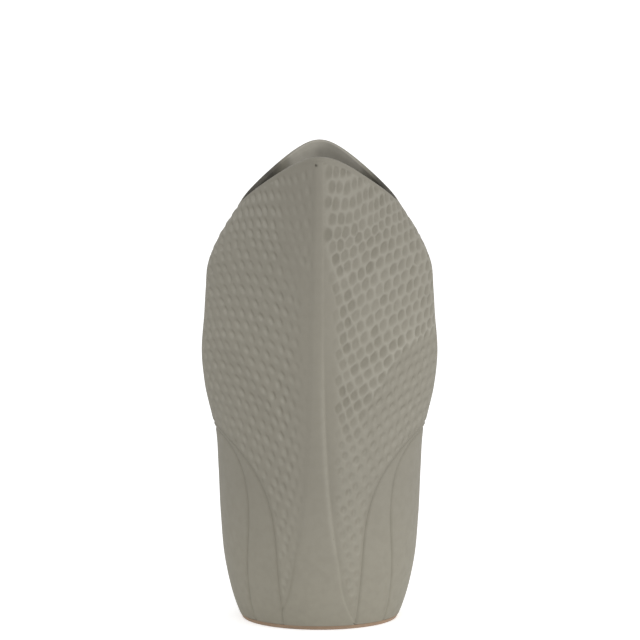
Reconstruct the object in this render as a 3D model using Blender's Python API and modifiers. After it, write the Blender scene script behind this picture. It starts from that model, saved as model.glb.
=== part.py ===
"""A leaf-clad ceramic flower vase, in metres, +Z up, standing on z = 0 with its front towards -Y.

A round foot carries the floor and a plain vessel wall, which grows from a round base to a diamond-shaped
mouth with a raised tip at the front and at the back. Two dimpled leaves clad it, one at the front and one at
the back, each made of two blades and a midrib. On each side two nested arched sheaths close the space
between the leaves.

Angles are measured round the axis from the front (-Y) towards +X. Depths are measured in from the leaves'
outer face. The outline of a leaf or sheath is drawn flat first, with metres round the form across and height
up, and is then wrapped round the form. Clay pieces meet face to face with a thin seam between them.
"""

import math
from collections import namedtuple

import bmesh
import bpy
import numpy as np
from mathutils.geometry import delaunay_2d_cdt

FRONT = 0.0
SIDE = math.pi / 2

# Overall form
TIP_HEIGHT = 0.355  # the rim at the two leaf tips
VALLEY_HEIGHT = 0.3130  # the rim at the sides
TIP_ROUNDING = 0.12  # share of a quarter turn over which a tip is rounded
RIM_FALL = 1.10  # power of the rim's fall from tip to side: 1 is straight
NOTCH_SHARE = 0.21  # share of the fall that comes late, as a notch at the side
NOTCH_FALL = 5
CORNER_SOFTNESS = 0.12  # share of its half width over which a section's corner is rounded
FOOT_RADIUS = 0.0592
BELLY_HALF_WIDTH = 0.0884
BELLY_HALF_DEPTH = 0.0768
MOUTH_HALF_WIDTH = 0.0586
MOUTH_HALF_DEPTH = 0.0489

# Stations up the vase. Height is a share of the rim's height there. Width and depth are shares of the way
# from the foot's radius to the belly's half sizes up to the belly, and from the mouth's half sizes to them
# above it. The exponent is 2 for an ellipse and nears 1 for a diamond.
LOWER_SHARES = (
    (0.000, 0.000, 0.000, 2.00),
    (0.031, 0.135, 0.233, 2.00),
    (0.132, 0.416, 0.682, 2.00),
    (0.247, 0.540, 0.830, 1.95),
    (0.362, 0.599, 0.875, 1.80),
    (0.450, 0.660, 0.926, 1.65),
    (0.564, 0.922, 1.000, 1.50),
    (0.636, 1.000, 0.983, 1.45),
)
UPPER_SHARES = (
    (0.737, 0.935, 0.883, 1.38),
    (0.794, 0.900, 0.770, 1.33),
    (0.853, 0.845, 0.600, 1.30),
    (0.910, 0.608, 0.389, 1.22),
    (1.000, 0.000, 0.000, 1.19),
)

# Clay thicknesses and seams
SEAM = 0.0003  # between two clay pieces side by side
BACKING = 0.0006  # between a skin's back and the wall or floor behind it
SKIN = 0.0024  # leaves and sheaths
WALL = 0.0036  # the vessel wall behind them
LIP_THICKNESS = 0.0044
LIP_HEIGHT = 0.0032  # smooth band above the leaves
LIP_TAPER = 0.030  # height over which the wall thins to the lip
LIP_CROWN = 0.0022  # rise of the lip's rounded top

# Foot and floor
FOOT_HEIGHT = 0.0030
FOOT_WIDTH = 0.0100
FOOT_INSET = 0.0010  # the bare foot stands this far in from the leaves' face
FOOT_ROUNDING = 0.0010
FLOOR_THICKNESS = 0.0060

# Midrib
MIDRIB_TIP_HALF = 0.0035  # half width at the tip
MIDRIB_FLARE = 0.0300  # half width that the flare adds at the base
MIDRIB_FADE = 0.0620  # height in which the flare falls to about a third
MIDRIB_RISE = 0.0009  # how far it stands out from the blades
MIDRIB_EDGE = 0.0002  # depth of its edges
BLADE_POINT = 0.0015  # the sheath's edge keeps at least this far from the midrib's
BLADE_START = 0.0018  # a blade begins where it is this wide

# Arched sheaths, centred on each side
LEAF_ARCH_HEIGHT = 0.149
LEAF_ARCH_HALF_ANGLE = math.radians(64)
LEAF_ARCH_POWERS = (5.2, 1.3)
SHEATH_BAND_HEIGHT = 0.0045  # of the outer sheath, at its crown
SHEATH_BAND_ANGLE = math.radians(27)  # of the outer sheath, low down
SHEATH_ARCH_SWELL = math.radians(7.5)  # added to the half angle higher up
SHEATH_ARCH_SWELL_HEIGHT = 0.100
SHEATH_ARCH_POWERS = (7.0, 1.7)
SHEATH_STEP = 0.0004  # each sheath lies this much deeper than what it is tucked under

# Edges and dimples
EDGE_WIDTH = 0.0014  # soft edge of every applied piece
EDGE_DROP = 0.0006
CELL_WIDTH = 0.0092
CELL_LENGTH = 0.0120
CELL_MARGIN = 0.0054  # from a blade's edge to its outermost dimples' centres
CELL_DEPTH = 0.0011
CELL_LEAN = math.radians(45)  # of the cells' long axis, away from the midrib, in the upper leaf
CELL_LEAN_LOW = math.radians(18)  # low down, between the sheaths
CELL_LEAN_REACH = 0.024
CELL_LEAN_HEIGHTS = (0.060, 0.170)

# How finely the forms are divided, in metres where they are lengths
COLUMNS = 40
WALL_ROWS = 20
INNER_ROWS = 8
LIP_STEPS = 4
OUTLINE_STEP = 0.0135
OUTLINE_SAG = 0.00012
QUARTER_SAMPLES = 90
HEIGHT_SAMPLES = 90
ARCH_SAMPLES = 400
ARCH_CROWDING = 3  # power that brings an arch's samples together at its crown
RING_CLEARANCE = 0.7  # share of a soft edge's width that its inner ring keeps from every edge
GRID_CLEARANCE = 0.0034
FLUSH_SEAMS = 3  # an outline this many seams under the lip stays flush with it
SETTLING_ROUNDS = 14
SAMPLE_STEP = 0.0024

CREASE_ANGLE = math.radians(14)  # steeper edges are shaded sharp, such as the crests between dimples
GLAZE = (0.281, 0.262, 0.218, 1.0)
GLAZE_ROUGHNESS = 0.5
BARE_CLAY = (0.500, 0.330, 0.230, 1.0)
BARE_CLAY_ROUGHNESS = 0.9

SKIN_FOOT = FOOT_HEIGHT + SEAM
FLOOR_TOP = SKIN_FOOT + FLOOR_THICKNESS


# A leaf's or sheath's piece, drawn flat. The centre is the angle that its places are measured from. Level and
# edge are the depths of its face and of its outline. Crest points lie on the face and cells are dimples'
# centres. Back points, and the pairs of them that share an edge, follow the vessel wall's facets.
SkinForm = namedtuple("SkinForm", "outline centre level edge crest cells back pairs")


def station_table():
    """The stations as real sizes: height share, half width, half depth and exponent."""
    rows = []
    for height, width, depth, power in LOWER_SHARES:
        half_width = FOOT_RADIUS + width * (BELLY_HALF_WIDTH - FOOT_RADIUS)
        half_depth = FOOT_RADIUS + depth * (BELLY_HALF_DEPTH - FOOT_RADIUS)
        rows.append((height, half_width, half_depth, power))
    for height, width, depth, power in UPPER_SHARES:
        half_width = MOUTH_HALF_WIDTH + width * (BELLY_HALF_WIDTH - MOUTH_HALF_WIDTH)
        half_depth = MOUTH_HALF_DEPTH + depth * (BELLY_HALF_DEPTH - MOUTH_HALF_DEPTH)
        rows.append((height, half_width, half_depth, power))
    return np.array(rows)


STATIONS = station_table()


def section(share):
    """Half width, half depth and exponent at a share of the rim's height, on smooth curves."""
    shares = STATIONS[:, 0]
    share = np.clip(share, 0.0, 1.0)
    i = np.clip(np.searchsorted(shares, share) - 1, 0, len(shares) - 2)
    step = shares[i + 1] - shares[i]
    t = (share - shares[i]) / step
    found = []
    for column in (1, 2, 3):
        values = STATIONS[:, column]
        slopes = np.gradient(values, shares)
        start = (2 * t**3 - 3 * t**2 + 1) * values[i] + (t**3 - 2 * t**2 + t) * step * slopes[i]
        end = (3 * t**2 - 2 * t**3) * values[i + 1] + (t**3 - t**2) * step * slopes[i + 1]
        found.append(start + end)
    return found


def rim_height(angle):
    """Height of the rim: highest at the two leaf tips and lowest at the sides."""
    turn = np.arccos(np.clip(np.abs(np.cos(angle)), 0.0, 1.0)) / SIDE
    turn = (np.hypot(turn, TIP_ROUNDING) - TIP_ROUNDING) / (math.hypot(1.0, TIP_ROUNDING) - TIP_ROUNDING)
    drop = (1 - NOTCH_SHARE) * turn**RIM_FALL + NOTCH_SHARE * turn**NOTCH_FALL
    return TIP_HEIGHT - (TIP_HEIGHT - VALLEY_HEIGHT) * drop


def form_point(angle, height, depth):
    """The point of the vase's form at an angle and a height, some depth in from the leaves' outer face."""
    half_width, half_depth, power = section(height / rim_height(angle))
    # A diamond's sides come nearer together than its corners do, so its corners move in further.
    inset = depth * 2 ** (1 / power - 0.5)
    across = np.sin(angle) / (half_width - inset)
    along = np.cos(angle) / (half_depth - inset)
    soft = CORNER_SOFTNESS * np.hypot(across, along)
    total = sum((reach**2 + soft**2) ** (power / 2) - soft**power for reach in (across, along))
    at_corner = (1 + CORNER_SOFTNESS**2) ** (power / 2) - CORNER_SOFTNESS**power
    radius = (total / at_corner) ** (-1 / power)
    return np.stack([radius * np.sin(angle), -radius * np.cos(angle), height + 0 * radius], axis=-1)


def girth_table():
    """Metres round the form from the front, for even steps of angle and of height."""
    angles = np.linspace(-math.pi, math.pi, 4 * QUARTER_SAMPLES + 1)
    heights = np.linspace(0.0, TIP_HEIGHT, HEIGHT_SAMPLES)
    points = form_point(angles[:, None], heights[None, :], 0.0)
    steps = np.linalg.norm(np.diff(points[..., :2], axis=0), axis=2)
    run = np.concatenate([np.zeros((1, len(heights))), np.cumsum(steps, axis=0)])
    return angles, run - run[2 * QUARTER_SAMPLES]


ANGLES, GIRTHS = girth_table()


def girths_at(height):
    """Metres round the form from the front to each of ANGLES, one column for each height."""
    row = np.clip(np.asarray(height) / TIP_HEIGHT, 0, 1) * (HEIGHT_SAMPLES - 1)
    lower = np.minimum(row.astype(int), HEIGHT_SAMPLES - 2)
    return GIRTHS[:, lower] + (GIRTHS[:, lower + 1] - GIRTHS[:, lower]) * (row - lower)


def laid_flat(angle, height):
    """Flat places, from the front, of points of the form."""
    angle, height = np.broadcast_arrays(angle, height)
    across = [np.interp(a, ANGLES, column) for a, column in zip(angle, girths_at(height).T)]
    return np.stack([across, height], axis=-1)


def side_girth(height):
    return laid_flat(SIDE, height)[:, 0]


def wrapped(flat, centre):
    """Angles of flat places that are measured from a centre, which is the front or the right side."""
    start = side_girth(flat[:, 1]) if centre else 0.0
    across = flat[:, 0] + start
    return np.array([np.interp(a, column, ANGLES) for a, column in zip(across, girths_at(flat[:, 1]).T)])


def fair_steps(curve):
    """The same curve as fewer points, nearer together where it bends."""
    step = np.diff(curve, axis=0)
    run = np.linalg.norm(step, axis=1)
    bend = np.abs(np.gradient(np.unwrap(np.arctan2(step[:, 1], step[:, 0])))) / run
    need = run * np.maximum(1 / OUTLINE_STEP, np.sqrt(bend / (8 * OUTLINE_SAG)))
    along = np.concatenate([[0.0], np.cumsum(need)])
    stops = np.linspace(0.0, along[-1], math.ceil(along[-1]) + 1)
    return np.stack([np.interp(stops, along, curve[:, 0]), np.interp(stops, along, curve[:, 1])], axis=-1)


def moved_left(curve, distance):
    """The curve moved to its left, as seen along its own direction."""
    heading = np.gradient(curve, axis=0)
    heading /= np.linalg.norm(heading, axis=1)[:, None]
    return curve + distance * np.stack([-heading[:, 1], heading[:, 0]], axis=-1)


def midrib_half(height):
    return MIDRIB_TIP_HALF + MIDRIB_FLARE * np.exp(-height / MIDRIB_FADE)


def arch_heights(top):
    """Heights from the foot to an arch's crown, closer together near the crown."""
    return SKIN_FOOT + (top - SKIN_FOOT) * (1 - (1 - np.linspace(0, 1, ARCH_SAMPLES)) ** ARCH_CROWDING)


def leaf_arch():
    """The front edge of the right outer sheath, laid flat from the foot to the crown. Its lowest stretch
    gives way to the flaring midrib."""
    height = arch_heights(LEAF_ARCH_HEIGHT)
    rise, spread = LEAF_ARCH_POWERS
    opening = (1 - (height / LEAF_ARCH_HEIGHT) ** rise) ** (1 / spread)
    across = laid_flat(SIDE - LEAF_ARCH_HALF_ANGLE * opening, height)[:, 0]
    return np.stack([np.maximum(across, midrib_half(height) + BLADE_POINT), height], axis=-1)


def sheath_arch():
    """The front edge of the right inner sheath, laid flat from the foot to the crown."""
    crown = LEAF_ARCH_HEIGHT - SHEATH_BAND_HEIGHT
    height = arch_heights(crown)
    rise, spread = SHEATH_ARCH_POWERS
    opening = (1 - (height / crown) ** rise) ** (1 / spread)
    swell = np.clip(height / SHEATH_ARCH_SWELL_HEIGHT, 0, 1)
    half_angle = LEAF_ARCH_HALF_ANGLE - SHEATH_BAND_ANGLE + SHEATH_ARCH_SWELL * swell**2 * (3 - 2 * swell)
    return laid_flat(SIDE - half_angle * opening, height)


def inside_by(outline, points, margin):
    """Which points lie inside a flat outline and at least a margin away from it."""
    start = outline[None]
    end = np.roll(outline, -1, axis=0)[None]
    point = points[:, None]
    run = end - start
    share = np.clip(((point - start) * run).sum(2) / (run**2).sum(2), 0, 1)
    away = np.linalg.norm(point - start - share[..., None] * run, axis=2).min(axis=1)
    spans = (start[..., 1] > point[..., 1]) != (end[..., 1] > point[..., 1])
    rise = np.where(spans, run[..., 1], 1.0)
    crossing = start[..., 0] + run[..., 0] * (point[..., 1] - start[..., 1]) / rise
    within = (spans & (point[..., 0] < crossing)).sum(axis=1) % 2 == 1
    return within & (away >= margin)


def edge_ring(outline, halved):
    """Points a soft edge's width inside an outline, where the piece reaches its full height, and the pairs
    of them that are neighbours, numbered after the outline's points. A halved ring has twice the points."""
    before = np.roll(outline, 1, axis=0)
    after = np.roll(outline, -1, axis=0)
    heading = (after - before) / np.linalg.norm(after - before, axis=1)[:, None]
    ring = outline + EDGE_WIDTH * np.stack([-heading[:, 1], heading[:, 0]], axis=-1)
    if halved:
        ring = np.stack([ring, (ring + np.roll(ring, -1, axis=0)) / 2], axis=1).reshape(-1, 2)
    clearance = RING_CLEARANCE * EDGE_WIDTH
    kept = inside_by(outline, ring, clearance)
    joined = kept & np.roll(kept, 1) & inside_by(outline, (ring + np.roll(ring, 1, axis=0)) / 2, clearance)
    number = len(outline) + np.cumsum(kept) - 1
    return ring[kept], [(number[i - 1], number[i]) for i in np.flatnonzero(joined)]


def wall_grid(outline, centre):
    """Points of the vessel wall's own columns and rows that lie behind a piece, and the pairs of points that
    are neighbours in a column, numbered after the outline's points."""
    columns = np.arange(-COLUMNS // 2, COLUMNS // 2 + 1) * (2 * math.pi / COLUMNS)
    angle, row = (values.ravel() for values in np.meshgrid(columns, np.linspace(0, 1, WALL_ROWS + 1)))
    height = SKIN_FOOT + (rim_height(angle) - LIP_HEIGHT - SKIN_FOOT) * row
    points = laid_flat(angle, height)
    if centre:
        points[:, 0] -= side_girth(height)
    kept = inside_by(outline, points, GRID_CLEARANCE)
    away = np.linalg.norm(points[:, None] - outline[None], axis=2)
    met = away.min(axis=1) < FLUSH_SEAMS * SEAM
    number = np.where(met, away.argmin(axis=1), len(outline) + np.cumsum(kept) - 1)
    known = kept | met
    below = np.arange(len(points) - len(columns))
    above = below + len(columns)
    joined = known[below] & known[above]
    return points[kept], list(zip(number[below[joined]], number[above[joined]]))


def cell_lean(points):
    """How far a cell's long axis leans away from the midrib."""
    low, high = CELL_LEAN_HEIGHTS
    climb = np.clip((points[:, 1] - low) / (high - low), 0, 1)
    lean = CELL_LEAN_LOW + (CELL_LEAN - CELL_LEAN_LOW) * climb**2 * (3 - 2 * climb)
    return lean * (1 - np.exp(-points[:, 0] / CELL_LEAN_REACH))


def cell_centres(outline):
    """Centres of a blade's dimples: a staggered pattern that settles until the cells are even."""
    low, high = outline.min(axis=0), outline.max(axis=0)
    sample = np.stack(np.meshgrid(*(np.arange(a, b, SAMPLE_STEP) for a, b in zip(low, high))), axis=-1)
    sample = sample.reshape(-1, 2)
    # Cells reach a quarter of their width past the margin that their centres keep.
    sample = sample[inside_by(outline, sample, CELL_MARGIN - CELL_WIDTH / 4)]
    row_step = CELL_LENGTH * math.sqrt(3) / 2
    centres = []
    for row, height in enumerate(np.arange(low[1], high[1], row_step)):
        across = np.arange(low[0] + CELL_WIDTH / 2 * (row % 2), high[0], CELL_WIDTH)
        centres.append(np.stack([across, np.full_like(across, height)], axis=-1))
    centres = np.concatenate(centres)
    centres = centres[inside_by(outline, centres, CELL_MARGIN)]
    for _ in range(SETTLING_ROUNDS):
        lean = cell_lean(centres)
        apart = sample[:, None] - centres[None]
        along = (apart[..., 0] * np.sin(lean) + apart[..., 1] * np.cos(lean)) / CELL_LENGTH
        across = (apart[..., 0] * np.cos(lean) - apart[..., 1] * np.sin(lean)) / CELL_WIDTH
        nearest = (along**2 + across**2).argmin(axis=1)
        count = np.bincount(nearest, minlength=len(centres))
        sums = [np.bincount(nearest, sample[:, k], len(centres)) for k in (0, 1)]
        centres = np.stack(sums, axis=-1)[count > 0] / count[count > 0][:, None]
    return centres[inside_by(outline, centres, CELL_MARGIN)]


def turned_from(start, end, point):
    """More than 0 where a point lies to the left of the line from start to end."""
    run = end - start
    away = point - start
    return run[..., 0] * away[..., 1] - run[..., 1] * away[..., 0]


def uncrossed(points, count, pairs):
    """The pairs whose lines cross neither the outline, the first count points, nor the line of a pair before."""
    starts = list(points[:count])
    ends = list(np.roll(points[:count], -1, axis=0))
    found = []
    for pair in pairs:
        start, end = points[pair[0]], points[pair[1]]
        lines = np.array(starts), np.array(ends)
        apart = turned_from(start, end, lines[0]) * turned_from(start, end, lines[1])
        split = turned_from(*lines, start) * turned_from(*lines, end)
        if not ((apart < 0) & (split < 0)).any():
            found.append((int(pair[0]), int(pair[1])))
            starts.append(start)
            ends.append(end)
    return found


def triangulated(outline, points, pairs):
    """Triangles over an outline and the points inside it, as rows of numbers. The pairs share an edge."""
    points = np.concatenate([outline, points])
    pairs = uncrossed(points, len(outline), pairs)
    flat = [tuple(point) for point in points]
    found = delaunay_2d_cdt(flat, pairs, [list(range(len(outline)))], 1, 1e-9)
    order = [sources[0] for sources in found[3]]
    return [[order[corner] for corner in face] for face in found[2]]


def dimpled(mesh, pits):
    """Gives each pit vertex a ring of crest vertices: faces between pits get a centre, and the edges from
    pit to pit turn to run from crest to crest."""
    between = [face for face in mesh.faces if sum(vert in pits for vert in face.verts) > 1]
    bmesh.ops.poke(mesh, faces=between)
    joined = [edge for edge in mesh.edges if all(vert in pits for vert in edge.verts)]
    bmesh.ops.rotate_edges(mesh, edges=joined, use_ccw=False)


def collection_named(name):
    collection = bpy.data.collections.new(name)
    bpy.context.scene.collection.children.link(collection)
    return collection


def glaze_material(name, colour, roughness):
    material = bpy.data.materials.new(name)
    material.use_nodes = True
    shader = material.node_tree.nodes["Principled BSDF"]
    shader.inputs["Base Color"].default_value = colour
    shader.inputs["Roughness"].default_value = roughness
    shader.inputs["Metallic"].default_value = 0.0
    return material


def add_object(name, mesh, colour, roughness, collection):
    """An object of the given bmesh, which it frees, with a material of its own."""
    data = bpy.data.meshes.new(name)
    mesh.to_mesh(data)
    mesh.free()
    data.shade_smooth()
    data.set_sharp_from_angle(angle=CREASE_ANGLE)
    data.materials.append(glaze_material(name + "_finish", colour, roughness))
    thing = bpy.data.objects.new(name, data)
    collection.objects.link(thing)
    return thing


def edge_depths(outline, centre, depth):
    """Depth of a piece's edge: a soft edge along its seams, and flush where it meets the lip."""
    angle = wrapped(outline, centre)
    at_lip = outline[:, 1] > rim_height(angle) - LIP_HEIGHT - FLUSH_SEAMS * SEAM
    return np.where(at_lip, 0.0, depth)


def add_skin(name, form, flips, collection):
    """A closed clay skin over a flat outline (counter-clockwise seen from outside): its face with a soft
    edge, its back against the wall, and its rim. flips turns the right or front piece into another."""
    outline, level = form.outline, form.level
    ring, pairs = edge_ring(outline, len(form.cells) > 0)
    face_points = np.concatenate([ring, form.crest, form.cells])
    pit_from = len(outline) + len(ring) + len(form.crest)
    mesh = bmesh.new()
    place = mesh.verts.layers.float_vector.new("place")

    def add_vert(point, depth):
        vert = mesh.verts.new((point[0], point[1], 0.0))
        vert[place] = (point[0], point[1], depth)
        return vert

    depths = edge_depths(outline, form.centre, form.edge)
    edge = [add_vert(point, depth) for point, depth in zip(outline, depths)]
    face = edge + [add_vert(point, level) for point in face_points]
    for corners in triangulated(outline, face_points, pairs):
        mesh.faces.new([face[corner] for corner in corners])
    pits = set(face[pit_from:])
    for pit in pits:
        pit[place] = (pit[place][0], pit[place][1], level + CELL_DEPTH)
    known = set(mesh.verts)
    dimpled(mesh, pits)
    for vert in mesh.verts:
        if vert not in known:
            vert[place] = (vert.co.x, vert.co.y, level)

    back = [add_vert(point, SKIN) for point in np.concatenate([outline, form.back])]
    for corners in triangulated(outline, form.back, form.pairs):
        mesh.faces.new([back[corner] for corner in reversed(corners)])
    count = len(outline)
    for i in range(count):
        j = (i + 1) % count
        mesh.faces.new([edge[j], edge[i], back[i], back[j]])

    spots = np.array([vert[place] for vert in mesh.verts])
    points = form_point(wrapped(spots, form.centre), spots[:, 1], spots[:, 2])
    points[:, :2] *= flips
    for vert, point in zip(mesh.verts, points):
        vert.co = point
    if flips[0] * flips[1] < 0:
        bmesh.ops.reverse_faces(mesh, faces=mesh.faces[:])
    mesh.verts.layers.float_vector.remove(place)
    return add_object(name, mesh, GLAZE, GLAZE_ROUGHNESS, collection)


def blade_outline():
    """The front leaf's right blade, laid flat."""
    arch = fair_steps(leaf_arch())
    arch = moved_left(arch, SEAM / 2)
    arch = arch[arch[:, 0] - midrib_half(arch[:, 1]) > BLADE_START]
    corner = VALLEY_HEIGHT - LIP_HEIGHT - SEAM
    steps = math.ceil((corner - LEAF_ARCH_HEIGHT) / OUTLINE_STEP)
    heights = np.linspace(LEAF_ARCH_HEIGHT + SEAM / 2, corner, steps)
    side = np.stack([side_girth(heights) - SEAM / 2, heights], axis=-1)
    columns = np.arange(COLUMNS // 4 - 1, 0, -1) * (2 * math.pi / COLUMNS)
    rim = laid_flat(columns, rim_height(columns) - LIP_HEIGHT - SEAM)
    inner = midrib_edge(arch[0, 1]) + np.array([SEAM / 2, 0.0])
    return np.concatenate([arch[:-1], side, rim, inner[::-1]])


def midrib_edge(foot):
    """The front midrib's right edge, laid flat, from a height up to the lip."""
    top = float(rim_height(0.0)) - LIP_HEIGHT - SEAM
    top -= float(rim_height(0.0) - rim_height(wrapped(np.array([[MIDRIB_TIP_HALF, top]]), FRONT)[0]))
    heights = np.linspace(foot, top, math.ceil((top - foot) / OUTLINE_STEP))
    return np.stack([midrib_half(heights), heights], axis=-1)


def midrib_outline():
    """The front midrib, laid flat."""
    arch = fair_steps(leaf_arch())
    below = arch[arch[:, 0] - midrib_half(arch[:, 1]) <= BLADE_START]
    below = below - np.array([SEAM / 2, 0.0])
    blade_foot = blade_outline()[0, 1]
    ledge = np.array([[below[-1, 0], blade_foot - SEAM]])
    upper = midrib_edge(blade_foot - SEAM) - np.array([SEAM / 2, 0.0])
    right = np.concatenate([below, ledge, upper])
    right[0, 1] = SKIN_FOOT
    left = (right * np.array([-1.0, 1.0]))[::-1]
    tip = np.array([[0.0, float(rim_height(0.0)) - LIP_HEIGHT - SEAM]])
    return np.concatenate([right, tip, left, foot_stretch(left[-1, 0], right[0, 0])])


def midrib_spine():
    """Points up the middle of the midrib, level with those of its edges."""
    blade_foot = blade_outline()[0, 1]
    heights = np.concatenate([[(SKIN_FOOT + blade_foot) / 2], midrib_edge(blade_foot)[:-1, 1]])
    return np.stack([0 * heights, heights], axis=-1)


def foot_stretch(start, end):
    """Points along the foot between two places, without its ends."""
    count = max(1, math.ceil(abs(end - start) / OUTLINE_STEP))
    across = np.linspace(start, end, count + 1)[1:-1]
    return np.stack([across, np.full_like(across, SKIN_FOOT)], axis=-1)


def side_arch(curve, shift):
    """An arch as seen from its own side, from back foot over crown to front foot, moved in by shift."""
    front = fair_steps(curve)
    front[:, 0] -= side_girth(front[:, 1])
    front[-1, 0] = 0.0
    front = moved_left(front, -shift)
    front[-1] = (0.0, curve[-1, 1] - shift)
    front[0, 1] = SKIN_FOOT
    back = front[:-1] * np.array([-1.0, 1.0])
    return np.concatenate([back, front[::-1]])


def outer_sheath_outline():
    outer = side_arch(leaf_arch(), SEAM / 2)
    inner = side_arch(sheath_arch(), -SEAM / 2)[::-1]
    front_foot = foot_stretch(outer[-1, 0], inner[0, 0])
    back_foot = foot_stretch(inner[-1, 0], outer[0, 0])
    return np.concatenate([outer, front_foot, inner, back_foot])


def inner_sheath_outline():
    arch = side_arch(sheath_arch(), SEAM / 2)
    return np.concatenate([arch, foot_stretch(arch[-1, 0], arch[0, 0])])


def add_leaves(collection):
    none = np.empty((0, 2))
    outline = blade_outline()
    back = wall_grid(outline, FRONT)
    blade = SkinForm(outline, FRONT, 0.0, EDGE_DROP, none, cell_centres(outline), *back)
    outline = midrib_outline()
    crest, _ = wall_grid(outline, FRONT)
    crest = np.concatenate([crest[np.abs(crest[:, 0]) > EDGE_WIDTH], midrib_spine()])
    midrib = SkinForm(outline, FRONT, -MIDRIB_RISE, MIDRIB_EDGE, crest, none, crest, ())
    for place, toward in (("front", 1), ("back", -1)):
        for hand, side in (("right", 1), ("left", -1)):
            add_skin(f"{place}_blade_{hand}", blade, (side, toward), collection)
        add_skin(f"{place}_midrib", midrib, (1, toward), collection)


def add_sheaths(collection):
    none = np.empty((0, 2))
    for depth, layer, outline in (
        (SHEATH_STEP, "outer", outer_sheath_outline()),
        (2 * SHEATH_STEP, "inner", inner_sheath_outline()),
    ):
        grid, pairs = wall_grid(outline, SIDE)
        sheath = SkinForm(outline, SIDE, depth, depth + EDGE_DROP, grid, none, grid, pairs)
        for hand, side in (("right", 1), ("left", -1)):
            add_skin(f"{hand}_{layer}_sheath", sheath, (side, 1), collection)


def wall_loop(angle):
    """The vessel wall's section at one angle, as a closed loop of points."""
    rim = rim_height(angle)
    outer_depth = SKIN + BACKING
    lip_foot = rim - LIP_HEIGHT
    rows = []
    for k in range(WALL_ROWS + 1):
        rows.append((outer_depth, SKIN_FOOT + (lip_foot - SKIN_FOOT) * k / WALL_ROWS))
    half = LIP_THICKNESS / 2
    rows.append((0.0, lip_foot))
    for turn in np.linspace(0, math.pi, LIP_STEPS + 1):
        rows.append((half - half * math.cos(turn), rim - LIP_CROWN + LIP_CROWN * math.sin(turn)))
    inner_heights = [lip_foot + (FLOOR_TOP - lip_foot) * k / INNER_ROWS for k in range(INNER_ROWS + 1)]
    for height in (*inner_heights, SKIN_FOOT):
        thinned = np.clip(1 - (rim - height) / LIP_TAPER, 0, 1) ** 2
        full = outer_depth + WALL
        rows.append((full + (LIP_THICKNESS - full) * thinned, height))
    return [form_point(angle, height, depth) for depth, height in rows]


def add_vessel_wall(collection):
    """The inner pot: one section swept round the axis, changing from round to diamond-shaped."""
    mesh = bmesh.new()
    loops = []
    for column in range(COLUMNS):
        angle = np.float64(column * 2 * math.pi / COLUMNS)
        loops.append([mesh.verts.new(point) for point in wall_loop(angle)])
    for column, loop in enumerate(loops):
        following = loops[(column + 1) % COLUMNS]
        for i in range(len(loop)):
            j = (i + 1) % len(loop)
            mesh.faces.new([loop[i], following[i], following[j], loop[j]])
    # The skins' backs are divided along shorter diagonals too, so both bend the same way.
    bmesh.ops.triangulate(mesh, faces=mesh.faces[:], quad_method="SHORT_EDGE")
    add_object("vessel_wall", mesh, GLAZE, GLAZE_ROUGHNESS, collection)


def foot_radius(height, depth):
    return float(np.linalg.norm(form_point(np.float64(SIDE), np.float64(height), depth)[:2]))


def add_foot_ring(collection):
    """The bare ring under the vase: a turned section with rounded lower edges."""
    outer = foot_radius(FOOT_HEIGHT, FOOT_INSET)
    heel = foot_radius(0.0, FOOT_INSET)
    inner = heel - FOOT_WIDTH
    corner = []
    for turn in (0, math.pi / 4, math.pi / 2):
        corner.append((FOOT_ROUNDING * (1 - math.cos(turn)), FOOT_ROUNDING * (1 - math.sin(turn))))
    profile = [(outer, FOOT_HEIGHT)]
    profile += [(heel - inset, height) for inset, height in corner]
    profile += [(inner + inset, height) for inset, height in reversed(corner)]
    profile += [(inner, FOOT_HEIGHT)]
    mesh = bmesh.new()
    verts = [mesh.verts.new((radius, 0.0, height)) for radius, height in profile]
    for i, vert in enumerate(verts):
        mesh.edges.new((vert, verts[(i + 1) % len(verts)]))
    ring = add_object("foot_ring", mesh, BARE_CLAY, BARE_CLAY_ROUGHNESS, collection)
    turned = ring.modifiers.new("Turned", "SCREW")
    turned.axis = "Z"
    turned.steps = COLUMNS
    turned.render_steps = COLUMNS
    turned.use_merge_vertices = True
    turned.merge_threshold = 0.00001


def add_floor_slab(collection):
    """The disc that closes the bottom inside the wall, sloped at its edge. It lies on the foot ring."""
    lower = foot_radius(SKIN_FOOT, SKIN + BACKING + WALL) - SEAM
    upper = foot_radius(FLOOR_TOP, SKIN + BACKING + WALL) - SEAM
    mesh = bmesh.new()
    bmesh.ops.create_cone(
        mesh, cap_ends=True, segments=COLUMNS, radius1=lower, radius2=upper, depth=FLOOR_THICKNESS
    )
    slab = add_object("floor_slab", mesh, GLAZE, GLAZE_ROUGHNESS, collection)
    slab.location.z = (SKIN_FOOT + FLOOR_TOP) / 2


def main():
    for thing in list(bpy.data.objects):
        bpy.data.objects.remove(thing, do_unlink=True)
    collection = collection_named("leaf_clad_vase")
    add_foot_ring(collection)
    add_floor_slab(collection)
    add_vessel_wall(collection)
    add_leaves(collection)
    add_sheaths(collection)


main()
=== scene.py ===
"""Looks for the leaf-clad ceramic vase: fine surfaces, glaze and bare clay, in a plain studio."""

import math

import bpy
import numpy as np
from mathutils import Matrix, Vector
from mathutils.geometry import delaunay_2d_cdt
from mathutils.kdtree import KDTree


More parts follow.
